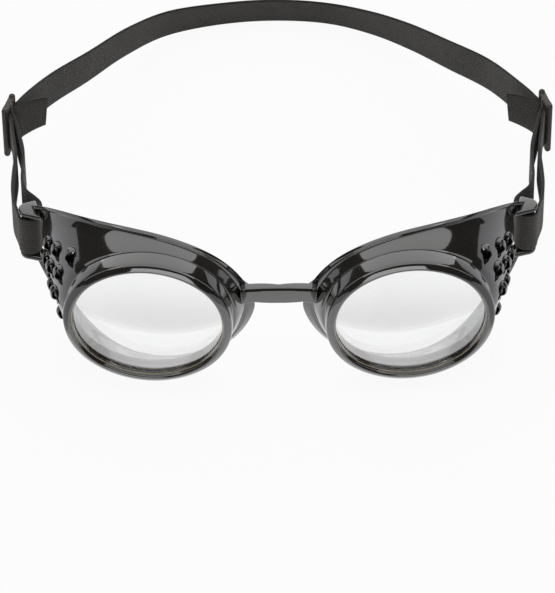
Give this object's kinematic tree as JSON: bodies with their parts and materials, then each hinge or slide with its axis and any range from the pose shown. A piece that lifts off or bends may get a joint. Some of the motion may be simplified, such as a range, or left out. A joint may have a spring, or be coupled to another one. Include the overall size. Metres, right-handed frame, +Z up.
{
  "type": "cup goggles",
  "caption": "Round-lensed goggles with vented eye cups, snap-fit bezels, an arched nose bridge and an adjustable elastic strap.",
  "frame": {"origin": "middle of the goggles' bounding box in plan, on the ground that the cups and the back of the strap rest on", "axes": "+X towards the right-hand lens as seen from the front, +Y from the lenses back to the strap, +Z up"},
  "size_m": [0.19, 0.204, 0.0567],
  "materials": {
    "moulding": "glossy moulded plastic",
    "bezel": "glossy moulded plastic",
    "lens": "clear, polished",
    "elastic": "woven ribbed elastic",
    "slider": "semi-gloss moulded plastic"
  },
  "bodies": {
    "goggles": {"frame": "moulding", "bezel_left": "bezel", "bezel_right": "bezel", "lens_left": "lens", "lens_right": "lens", "strap_back": "elastic"},
    "side_left": {"strap_side_left": "elastic"},
    "side_right": {"strap_side_right": "elastic"},
    "adjuster_left": {"slider_left": "slider", "strap_tail_left": "elastic"},
    "adjuster_right": {"slider_right": "slider", "strap_tail_right": "elastic"}
  },
  "joints": [
    {"name": "strap_turn_left", "type": "hinge", "parent": "goggles", "child": "side_left", "pos_m": [-0.0831, -0.04703, 0.02619], "axis": [0, 0, -1], "range_deg": [-6, 10], "deforming": ["strap_back"]},
    {"name": "strap_turn_right", "type": "hinge", "parent": "goggles", "child": "side_right", "pos_m": [0.0831, -0.04703, 0.02619], "axis": [0, 0, 1], "range_deg": [-6, 10], "deforming": ["strap_back"]},
    {"name": "slider_run_left", "type": "slide", "parent": "side_left", "child": "adjuster_left", "axis": [0.1169, -0.9895, 0.085], "range_m": [0, 0.012], "deforming": ["strap_side_left", "strap_back"]},
    {"name": "slider_run_right", "type": "slide", "parent": "side_right", "child": "adjuster_right", "axis": [-0.1169, -0.9895, 0.085], "range_m": [0, 0.012], "deforming": ["strap_side_right", "strap_back"]}
  ]
}
